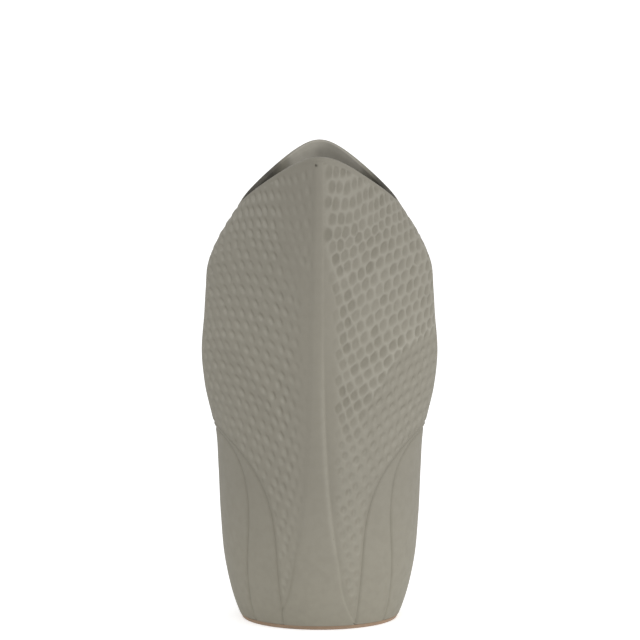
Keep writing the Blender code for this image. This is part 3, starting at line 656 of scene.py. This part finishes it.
def bowls(points, cells, roundness):
    """Depth at points in their dimples, 1 at the deepest, and the tone there: painted light and
    shade.

    At roundness 0 a dimple is crisp and fills its cell, with painted light on its outer side and
    painted shade on the side towards the midrib. At 1 it is a round bowl with a painted highlight
    and a painted shadow.
    """
    depths, tones = np.empty(len(points)), np.empty(len(points))
    for start in range(0, len(points), CHUNK):
        chunk = slice(start, start + CHUNK)
        offset = points[chunk, None] - cells[None, :, :2]
        lean, length = cells[:, 2], cells[:, 3]
        along = (offset[..., 0] * np.sin(lean) + offset[..., 1] * np.cos(lean)) / length
        across = (offset[..., 0] * np.cos(lean) - offset[..., 1] * np.sin(lean)) / CELL_WIDTH
        apart = along**2 + across**2
        nearest = apart.argmin(axis=1)[:, None]
        first, second = np.sqrt(np.partition(apart, 1, axis=1)[:, :2]).T
        between = second - first
        narrow = np.take_along_axis(across, nearest, axis=1)[:, 0]
        long = np.take_along_axis(along, nearest, axis=1)[:, 0]
        scooped = np.hypot(narrow + CELL_SCOOP * (1 - 2 * np.abs(narrow)), long)
        crisp = eased((CELL_SIZE - scooped) / CELL_SOFTNESS) * eased(between / CELL_RIDGE)
        rounded = spot(narrow, long, ROUND_BOWL) * eased(between / ROUND_RIDGE)
        # Painted light on a dimple's outer side and painted shade on its side towards the midrib,
        # and on a round one a painted highlight and a painted shadow
        sides = np.clip(CELL_SIDES * narrow, -1, 1)
        painted_highlight = spot(narrow, long, ROUND_HIGHLIGHT)
        painted_shadow = SHADOW_STRENGTH * spot(narrow, long, ROUND_SHADOW)
        strength = cells[nearest[:, 0], 4]
        depths[chunk] = mix(crisp, rounded, roundness[chunk]) * strength
        tone = mix(sides, painted_highlight - painted_shadow, roundness[chunk])
        tones[chunk] = tone * eased(between / CELL_SIDES_RIDGE) * strength
    return depths, tones


class Fold:
    """The diagonal fold at flat points: how far they are below it, and its shape there."""

    def __init__(self, across, height):
        above = np.interp(across, FOLD_ACROSS, FOLD_HEIGHTS) - height
        self.reach = ramp(across, FOLD_START)
        self.past = above * self.reach
        self.below = above * FOLD_SLANT
        self.beyond = ramp(self.below, FOLD_BEYOND) * self.reach
        width = np.where(self.below < 0, *FOLD_WIDTHS)
        self.ridge = bell(self.below, width)
        dip = bell(self.below - FOLD_DIP_PLACE[0], FOLD_DIP_PLACE[1])
        self.rise = FOLD * (self.ridge - FOLD_DIP * dip) * self.reach * (1 - ramp(across, FOLD_END))


class Blade:
    """A blade of a leaf, laid flat as if on the right: its outline and its relief."""

    def __init__(self, hand, seed):
        self.hand = hand
        arch, side, rim, inner = blade_curves(hand)
        self.outline = np.concatenate([arch[:-1], side, rim[1:], inner[1:-1]])
        self.side_tree = tree_of(evenly(side, TREE_STEP))
        self.rim_tree = tree_of(evenly(rim, TREE_STEP))
        cells = cell_rows(seed, hand)
        cells[:, 4] *= cell_field(cells[:, 0], cells[:, 1], hand)
        low = self.outline.min(axis=0) - BLADE_MARGIN
        high = self.outline.max(axis=0) + BLADE_MARGIN
        near = (cells[:, :2] > low) & (cells[:, :2] < high)
        self.cells = cells[near.all(axis=1)]

    def roundness(self, height, fold):
        """How round the dimples are: on the right blade, only low down and beyond the fold."""
        if self.hand < 0:
            return np.ones_like(height)
        low = mix(1, ROUND_HIGH, ramp(height, ROUND_LOW_SPAN))
        return np.maximum(low, ROUND_BEYOND * ramp(fold.past, ROUND_BEYOND_SPAN))

    def painted_light_and_shade(self, height, field, roundness, pit, sides, fold):
        """Tone in the dimples, on the net between them and at the fold: painted light and shade, and
        pooled glaze in the dimples.
        """
        # Painted light on the net and darker dimples, painted light and shade on the dimples' two
        # sides, a painted highlight on the fold's ridge and painted shade beyond it
        net = own(NET, self.hand)
        shade = own(FOLD_SHADE, self.hand) * fold.beyond * np.exp(-fold.below / FOLD_SHADE_FADE)
        if self.hand > 0:
            net = net * mix(1, NET_BEYOND, fold.beyond)
            net = net * mix(NET_LOW, 1, ramp(height, NET_LOW_SPAN))
            low = 1 - ramp(height, RIGHT_SIDE_SHADING_SPAN)
            side_shading = mix(*RIGHT_SIDE_SHADING, np.maximum(fold.beyond, low))
            gleam = FOLD_GLEAM * fold.ridge * (1 - fold.beyond) * fold.reach
        else:
            side_shading = mix(*LEFT_SIDE_SHADING, ramp(height, LEFT_SIDE_SHADING_SPAN))
            gleam = 0.0
        return net * (field - mix(*NET_PIT, roundness) * pit) + side_shading * sides + gleam - shade

    def relief(self, points):
        """Rise out of the leaf's face, and how pale (1) or dark (-1) it is painted there, mostly as
        painted light and shade.
        """
        across, height = points.T
        arch, side = away_from(ARCH_TREE, points), away_from(self.side_tree, points)
        rim = away_from(self.rim_tree, points)
        edge = ramp(side, CELL_EDGE) * ramp(rim, CELL_RIM_EDGE) * ramp(arch, CELL_EDGE)
        fold = Fold(across, height)
        roundness = self.roundness(height, fold)
        pit, sides = bowls(points, self.cells, roundness)
        pit, sides = pit * edge, sides * edge
        beside = across - midrib_reach(height, self.hand)
        rise = midrib_profile(beside, height, self.hand) - own(CELL_DEPTH, self.hand) * pit
        rise -= GROOVE_DEPTH * bell(arch, GROOVE_WIDTH)
        rise -= SIDE_GROOVE_DEPTH * bell(side, GROOVE_WIDTH)
        rise += fold.rise
        field = cell_field(across, height, self.hand) * edge
        tone = self.painted_light_and_shade(height, field, roundness, pit, sides, fold)
        tone += midrib_light_and_shade(beside, height, self.hand) - groove_shade(arch, height)
        if self.hand > 0:
            past_end = np.maximum(np.abs(across - SCRATCH_POINT[0]) - SCRATCH_HALF, 0)
            tone -= bell(np.hypot(past_end, height - SCRATCH_POINT[1]), SCRATCH_WIDTH)
        return rise, np.clip(tone, DARKEST, PALEST)


def midrib_relief(points):
    """The midrib's crown and edges, and a small pit near its tip, painted dark as its shade."""
    across, height = points.T
    right, left = across - midrib_reach(height, 1), -across - midrib_reach(height, -1)
    rise = np.minimum(midrib_profile(right, height, 1), midrib_profile(left, height, -1))
    arch = away_from(ARCH_TREE, np.stack([np.abs(across), height], axis=-1))
    low = 1 - ramp(height, MIDRIB_GROOVE_SPAN)
    place = np.hypot(across - PIT_POINT[0], (height - PIT_POINT[1]) * PIT_STRETCH)
    pit = bell(place, PIT_RADIUS)
    tone = midrib_light_and_shade(right, height, 1) + midrib_light_and_shade(left, height, -1)
    # Painted shade in the pit, in the mouth's darkest colour, and beside the groove at the foot
    tone += INSIDE_SHADE_TONE * pit - groove_shade(arch, height) * low
    return rise - GROOVE_DEPTH * bell(arch, GROOVE_WIDTH) * low - PIT_DEPTH * pit, tone


def sheath_relief(outer):
    """Grooves along a sheath's edges, measured from its own side, with painted shade beside them."""

    def relief(points):
        folded = np.stack([-np.abs(points[:, 0]), points[:, 1]], axis=-1)
        inner = away_from(SIDE_INNER_TREE, folded)
        groove = INNER_GROOVE * bell(inner, GROOVE_WIDTH)
        tone = INNER_GROOVE * groove_shade(inner, points[:, 1])
        if outer:
            arch = away_from(SIDE_ARCH_TREE, folded)
            groove = groove + bell(arch, GROOVE_WIDTH)
            tone = tone + groove_shade(arch, points[:, 1])
        return -GROOVE_DEPTH * groove, -tone

    return relief


def inside(outline, points):
    """Which points lie inside an outline."""
    start, end = outline, np.roll(outline, -1, axis=0)
    found = np.zeros(len(points), dtype=bool)
    for row in range(0, len(points), CHUNK):
        x, y = points[row : row + CHUNK, None, 0], points[row : row + CHUNK, None, 1]
        spans = (start[None, :, 1] > y) != (end[None, :, 1] > y)
        rise = np.where(spans, end[None, :, 1] - start[None, :, 1], 1.0)
        crossing = start[None, :, 0] + (end - start)[None, :, 0] * (y - start[None, :, 1]) / rise
        found[row : row + CHUNK] = (spans & (x < crossing)).sum(axis=1) % 2 == 1
    return found


def hex_points(outline, step):
    """Points in a triangular pattern inside an outline, clear of the outline itself."""
    low, high = outline.min(axis=0), outline.max(axis=0)
    rows = np.arange(low[1], high[1], step * math.sqrt(3) / 2)
    across = np.arange(low[0], high[0], step)
    x = across[None, :] + (np.arange(len(rows)) % 2)[:, None] * step / 2
    points = np.stack([x, np.broadcast_to(rows[:, None], x.shape)], axis=-1).reshape(-1, 2)
    points = points[inside(outline, points)]
    return points[away_from(tree_of(outline), points) > GRAIN_CLEARANCE * step]


def triangulated(outline, points):
    flat = [tuple(point) for point in np.concatenate([outline, points])]
    inside_only = 1
    loop = list(range(len(outline)))
    found = delaunay_2d_cdt(flat, [], [loop], inside_only, MERGE_DISTANCE)
    order = [sources[0] for sources in found[3]]
    return [[order[corner] for corner in face] for face in found[2]]


def ring_faces(rings, columns, closed):
    """Quads between rings of points, and from the last ring back to the first if closed."""
    faces = []
    for i in range(rings if closed else rings - 1):
        j = (i + 1) % rings
        for k in range(columns):
            n = (k + 1) % columns
            faces.append((i * columns + k, i * columns + n, j * columns + n, j * columns + k))
    return faces


def add_node(tree, kind, inputs, data_type=None, operation=None):
    """A new shader node, whose inputs are values or the sockets that feed them."""
    node = tree.nodes.new(kind)
    if data_type:
        node.data_type = data_type
    if operation:
        node.operation = operation
    for name, value in inputs.items():
        if isinstance(value, bpy.types.NodeSocket):
            tree.links.new(value, node.inputs[name])
        else:
            node.inputs[name].default_value = value
    return node


def add_noise(tree, place, look):
    scale, detail, rough = look
    inputs = {"Scale": scale, "Detail": detail, "Roughness": rough, "Vector": place}
    return add_node(tree, "ShaderNodeTexNoise", inputs).outputs["Fac"]


def ranged(tree, value, source, target):
    """A value carried from one range to another, and kept inside it."""
    inputs = {"From Min": source[0], "From Max": source[1], "Value": value}
    inputs |= {"To Min": target[0], "To Max": target[1]}
    return add_node(tree, "ShaderNodeMapRange", inputs).outputs["Result"]


def blended(tree, factor, first, second, multiply=False):
    """One colour laid over another."""
    inputs = {"Factor": factor, "A": first, "B": (*second, 1.0)}
    node = add_node(tree, "ShaderNodeMix", inputs, data_type="RGBA")
    if multiply:
        node.blend_type = "MULTIPLY"
    return node.outputs["Result"]


def glaze_material():
    """A glaze that follows the tone on the mesh, mostly painted light and shade, with painted light
    at the foot and painted shade at the tips, and clouds, mottling and specks.
    """
    material = bpy.data.materials.new("glaze_fine")
    material.use_nodes = True
    tree = material.node_tree
    shader = tree.nodes["Principled BSDF"]
    place = tree.nodes.new("ShaderNodeTexCoord").outputs["Object"]
    tone = tree.nodes.new("ShaderNodeAttribute")
    tone.attribute_name = TONE
    tone.attribute_type = "GEOMETRY"
    tone = tone.outputs["Fac"]
    height = add_node(tree, "ShaderNodeSeparateXYZ", {"Vector": place}).outputs["Z"]

    # Painted light and shade from the tone: paler or darker glaze, palest inside the tips and
    # darkest in the mouth's corners
    share = ranged(tree, tone, (-1.0, 0.0), (1.0, 0.0))
    colour = blended(tree, share, (*GLAZE, 1.0), GLAZE_DARKER)
    share = ranged(tree, tone, (0.0, 1.0), (0.0, 1.0))
    colour = blended(tree, share, colour, GLAZE_PALER)
    share = ranged(tree, tone, (1.0, MOUTH_LIGHT_TONE), (0.0, 1.0))
    colour = blended(tree, share, colour, MOUTH_PAINTED_LIGHT)
    share = ranged(tree, tone, (INSIDE_SHADE_TONE, -1.0), (1.0, 0.0))
    colour = blended(tree, share, colour, INSIDE_PAINTED_SHADE)
    # Painted light near the foot and painted shade towards the tips
    for tint, heights in (FOOT_PAINTED_LIGHT, TIP_PAINTED_SHADE):
        share = ranged(tree, height, heights, (0.0, 1.0))
        colour = blended(tree, share, colour, tint, multiply=True)
    noises = {}
    for layer in (CLOUD, MOTTLE, SPECK):
        look, values, strength, tint = layer
        noises[layer] = add_noise(tree, place, look)
        share = ranged(tree, noises[layer], values, (0.0, strength))
        colour = blended(tree, share, colour, tint)
    tree.links.new(colour, shader.inputs["Base Color"])
    rough = ranged(tree, noises[MOTTLE], GLAZE_ROUGHNESS_MOTTLE, GLAZE_ROUGHNESS)
    tree.links.new(rough, shader.inputs["Roughness"])
    shader.inputs["Specular IOR Level"].default_value = GLAZE_SPECULAR
    grain = add_noise(tree, place, GLAZE_GRAIN)
    bump = add_node(tree, "ShaderNodeBump", {**GLAZE_BUMP, "Height": grain})
    tree.links.new(bump.outputs["Normal"], shader.inputs["Normal"])
    return material


def clay_material():
    material = bpy.data.materials.new("bare_clay_fine")
    material.use_nodes = True
    tree = material.node_tree
    shader = tree.nodes["Principled BSDF"]
    place = tree.nodes.new("ShaderNodeTexCoord").outputs["Object"]
    grain = add_noise(tree, place, CLAY_GRAIN)
    colour = blended(tree, grain, (*CLAY, 1.0), CLAY_DARK)
    tree.links.new(colour, shader.inputs["Base Color"])
    shader.inputs["Roughness"].default_value = CLAY_ROUGHNESS
    bump = add_node(tree, "ShaderNodeBump", {**CLAY_BUMP, "Height": grain})
    tree.links.new(bump.outputs["Normal"], shader.inputs["Normal"])
    return material


MATERIALS = {"glaze": glaze_material(), "bare_clay": clay_material()}


def add_piece(name, verts, faces, flip, node, slot, tone=None):
    """A smooth-shaded piece that stands for a node."""
    data = bpy.data.meshes.new(name)
    data.from_pydata([tuple(v) for v in verts], [], faces)
    if flip:
        data.flip_normals()
    data.update()
    if tone is not None:
        attribute = data.attributes.new(TONE, "FLOAT", "POINT")
        attribute.data.foreach_set("value", np.ascontiguousarray(tone, dtype=np.float32))
    data.shade_smooth()
    data.set_sharp_from_angle(angle=SHARP_ANGLE)
    piece = bpy.data.objects.new(name, data)
    bpy.context.scene.collection.objects.link(piece)
    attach(piece, "root")
    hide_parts(node)
    data.materials.append(MATERIALS[slot])


class Skin:
    """A closed skin over a flat outline, with relief on its face and a plain back."""

    def __init__(self, outline, relief, centre, level, grain):
        points = hex_points(outline, grain)
        face = np.concatenate([outline, points])
        rise, tone = relief(face)
        front = form_point(wrapped(face, centre), face[:, 1], level - rise)
        coarse = hex_points(outline, BACK_GRAIN)
        backing = np.concatenate([outline, coarse])
        back = form_point(wrapped(backing, centre), backing[:, 1], SKIN)
        self.verts = np.concatenate([front, back])
        self.tone = np.concatenate([tone, np.zeros(len(back))])
        count, first = len(outline), len(face)
        self.faces = triangulated(outline, points)
        for corners in triangulated(outline, coarse):
            self.faces.append([first + corner for corner in reversed(corners)])
        for i in range(count):
            n = (i + 1) % count
            self.faces.append([n, i, first + i, first + n])

    def add(self, node, flips):
        """The skin as it is, or mirrored in x or y where a flip is -1."""
        verts = self.verts * np.array([*flips, 1.0])
        turned_out = flips[0] * flips[1] < 0
        add_piece(f"{node}_fine", verts, self.faces, turned_out, node, "glaze", self.tone)


def add_skins():
    for hand, seed in ((1, 3), (-1, 5)):
        blade = Blade(hand, seed)
        skin = Skin(blade.outline, blade.relief, FRONT, 0.0, GRAIN)
        skin.add("front_blade_right" if hand > 0 else "front_blade_left", (hand, 1))
        skin.add("back_blade_left" if hand > 0 else "back_blade_right", (-hand, -1))
    midrib = Skin(midrib_line(), midrib_relief, FRONT, 0.0, GRAIN)
    midrib.add("front_midrib", (1, 1))
    midrib.add("back_midrib", (-1, -1))
    outer, inner = arch_round(ARCH), arch_round(INNER_ARCH)
    foot = evenly(np.array([inner[-1], inner[0]]), GRAIN)[1:-1]
    outline = np.concatenate([inner, foot])
    panel = Skin(outline, sheath_relief(False), SIDE, 2 * SHEATH_STEP, SMOOTH_GRAIN)
    front_foot = evenly(np.array([outer[-1], inner[-1]]), GRAIN)[1:-1]
    back_foot = evenly(np.array([inner[0], outer[0]]), GRAIN)[1:-1]
    outline = np.concatenate([outer, front_foot, inner[::-1], back_foot])
    band = Skin(outline, sheath_relief(True), SIDE, SHEATH_STEP, GRAIN)
    for name, hand in (("right", 1), ("left", -1)):
        panel.add(f"{name}_inner_sheath", (hand, 1))
        band.add(f"{name}_outer_sheath", (hand, 1))


def add_wall():
    """The vessel wall with its rounded lip, and painted light and shade in its mouth."""
    angle = np.arange(WALL_COLUMNS) * 2 * math.pi / WALL_COLUMNS
    rim = rim_height(angle)
    lip_foot = rim - LIP_HEIGHT
    loops, tones = [], []

    def add_loop(height, depth, shade_part, light_part):
        """The parts say how much painted shade a loop has in the corners and low down, and how much
        painted light at the tips.
        """
        points = form_point(angle, height, depth)
        loops.append(points)
        first = np.where(points[:, 0] * points[:, 1] < 0, *MOUTH_CORNERS)
        corner = eased((np.abs(points[:, 0]) - first) / MOUTH_CORNER_LENGTH)
        deep = 1 - ramp(height, MOUTH_DEEP_END)
        dark = np.maximum(corner * (1 - ramp(height, MOUTH_CORNER_END)), deep)
        pale = (1 - corner) * (1 - dark)
        # Painted light inside the tips, painted shade in the corners and deep down
        tones.append(MOUTH_LIGHT_TONE * light_part * pale + INSIDE_SHADE_TONE * shade_part * dark)

    for share in np.linspace(0, 1, OUTER_LOOPS):
        add_loop(mix(SKIN_FOOT, lip_foot, share), SKIN + BACKING, 0.0, 0.0)
    add_loop(lip_foot, 0.0, 0.0, 0.0)
    add_loop((lip_foot + rim - LIP_CROWN) / 2, 0.0, 0.0, 0.0)
    half = LIP_THICKNESS / 2
    for turn in np.linspace(0, math.pi, LIP_LOOPS):
        height = rim - LIP_CROWN + LIP_CROWN * math.sin(turn)
        shade_part = ramp(turn / math.pi, LIP_SHADE_SPAN)
        light_part = ramp(turn / math.pi, LIP_LIGHT_SPAN)
        add_loop(height, half - half * math.cos(turn), shade_part, light_part)
    full = SKIN + BACKING + WALL
    for share in np.linspace(0, 1, INNER_LOOPS):
        height = mix(lip_foot, SKIN_FOOT, share)
        thinned = np.clip(1 - (rim - height) / LIP_TAPER, 0, 1) ** 2
        add_loop(height, mix(full, LIP_THICKNESS, thinned), 1.0, 1.0)
    faces = ring_faces(len(loops), WALL_COLUMNS, True)
    verts, tone = np.concatenate(loops), np.concatenate(tones)
    add_piece("vessel_wall_fine", verts, faces, False, "vessel_wall", "glaze", tone)


def add_turned(name, profile, node, slot, closed):
    """A lathe-turned piece from (radius, height) points, with a flat end at each if not closed."""
    turn = np.arange(TURNED_COLUMNS) * 2 * math.pi / TURNED_COLUMNS
    verts = [(r * math.cos(t), r * math.sin(t), h) for r, h in profile for t in turn]
    rings = len(profile)
    faces = [(a, d, c, b) for a, b, c, d in ring_faces(rings, TURNED_COLUMNS, closed)]
    if not closed:
        last = (rings - 1) * TURNED_COLUMNS
        faces.append(list(range(TURNED_COLUMNS)))
        faces.append([last + k for k in reversed(range(TURNED_COLUMNS))])
    add_piece(name, verts, faces, False, node, slot)


def add_foot_and_floor():
    def radius(height, depth):
        return float(np.linalg.norm(form_point(np.float64(SIDE), np.float64(height), depth)[:2]))

    outer, heel = radius(FOOT_HEIGHT, FOOT_INSET), radius(0.0, FOOT_INSET)
    hollow = heel - FOOT_WIDTH
    corner = []
    for turn in np.linspace(0, SIDE, CORNER_POINTS):
        corner.append((FOOT_ROUNDING * (1 - math.cos(turn)), FOOT_ROUNDING * (1 - math.sin(turn))))
    profile = [(outer, FOOT_HEIGHT)] + [(heel - inset, height) for inset, height in corner]
    profile += [(hollow + inset, height) for inset, height in reversed(corner)]
    profile += [(hollow, FOOT_HEIGHT)]
    add_turned("foot_ring_fine", profile, "foot_ring", "bare_clay", True)
    lower = radius(SKIN_FOOT, SKIN + BACKING + WALL)
    upper = radius(FLOOR_TOP, SKIN + BACKING + WALL)
    profile = [(FLOOR_CENTRE, FLOOR_TOP), (upper * FLOOR_MIDDLE, FLOOR_TOP), (upper, FLOOR_TOP)]
    profile += [(lower, SKIN_FOOT), (FLOOR_CENTRE, SKIN_FOOT)]
    add_turned("floor_slab_fine", profile, "floor_slab", "glaze", False)


def add_world():
    """A soft pale sky, which the camera, glossy and transmission rays see as white."""
    world = bpy.data.worlds.new("studio")
    bpy.context.scene.world = world
    world.use_nodes = True
    tree = world.node_tree
    back = tree.nodes["Background"]
    back.inputs["Color"].default_value = WHITE
    place = tree.nodes.new("ShaderNodeTexCoord").outputs["Generated"]
    up = add_node(tree, "ShaderNodeSeparateXYZ", {"Vector": place}).outputs["Z"]
    sky = ranged(tree, up, (0.0, 1.0), SKY)
    rays = tree.nodes.new("ShaderNodeLightPath").outputs
    inputs = {0: rays["Is Camera Ray"], 1: rays["Is Glossy Ray"]}
    seen = add_node(tree, "ShaderNodeMath", inputs, operation="MAXIMUM").outputs["Value"]
    inputs = {0: seen, 1: rays["Is Transmission Ray"]}
    shown = add_node(tree, "ShaderNodeMath", inputs, operation="MAXIMUM").outputs["Value"]
    inputs = {"Factor": shown, "A": sky, "B": 1.0}
    level = add_node(tree, "ShaderNodeMix", inputs, data_type="FLOAT").outputs["Result"]
    tree.links.new(level, back.inputs["Strength"])


def add_floor():
    """A plain pale floor that keeps the vase's shadow."""
    floor_mesh = bpy.data.meshes.new("studio_floor")
    square = ((-1, -1), (1, -1), (1, 1), (-1, 1))
    corners = [(x * FLOOR_HALF, y * FLOOR_HALF, 0) for x, y in square]
    floor_mesh.from_pydata(corners, [], [(0, 1, 2, 3)])
    floor = bpy.data.objects.new("studio_floor", floor_mesh)
    bpy.context.scene.collection.objects.link(floor)
    paint = bpy.data.materials.new("studio_floor")
    paint.use_nodes = True
    tree = paint.node_tree
    shader = tree.nodes["Principled BSDF"]
    shader.inputs["Base Color"].default_value = FLOOR_COLOUR
    shader.inputs["Roughness"].default_value = 1.0
    shader.inputs["Specular IOR Level"].default_value = 0.0
    shader.inputs["Emission Color"].default_value = WHITE
    rays = tree.nodes.new("ShaderNodeLightPath").outputs
    inputs = {0: rays["Is Camera Ray"], 1: FLOOR_GLOW}
    glow = add_node(tree, "ShaderNodeMath", inputs, operation="MULTIPLY").outputs["Value"]
    tree.links.new(glow, shader.inputs["Emission Strength"])
    floor_mesh.materials.append(paint)


def add_lamp(name, energy, size, point):
    data = bpy.data.lights.new(name, "AREA")
    data.energy = energy
    data.shape = "RECTANGLE"
    data.size, data.size_y = size
    lamp = bpy.data.objects.new(name, data)
    lamp.location = point
    way = np.array(LAMP_AIM) - np.array(point)
    lamp.rotation_euler = Vector(way).to_track_quat("-Z", "Y").to_euler()
    bpy.context.scene.collection.objects.link(lamp)


def add_camera():
    data = bpy.data.cameras.new("camera")
    data.sensor_width = CAMERA_SENSOR
    data.lens = CAMERA_LENS
    data.clip_start, data.clip_end = CAMERA_CLIP
    camera = bpy.data.objects.new("camera", data)
    camera.location = CAMERA_POINT
    camera.rotation_euler = (CAMERA_TILT, 0.0, 0.0)
    bpy.context.scene.collection.objects.link(camera)
    bpy.context.scene.camera = camera


add_skins()
add_wall()
add_foot_and_floor()

bpy.context.scene.view_settings.view_transform = "Standard"
add_world()
add_floor()
add_lamp("key", *KEY_LAMP)
add_lamp("front", *FRONT_LAMP)
add_camera()
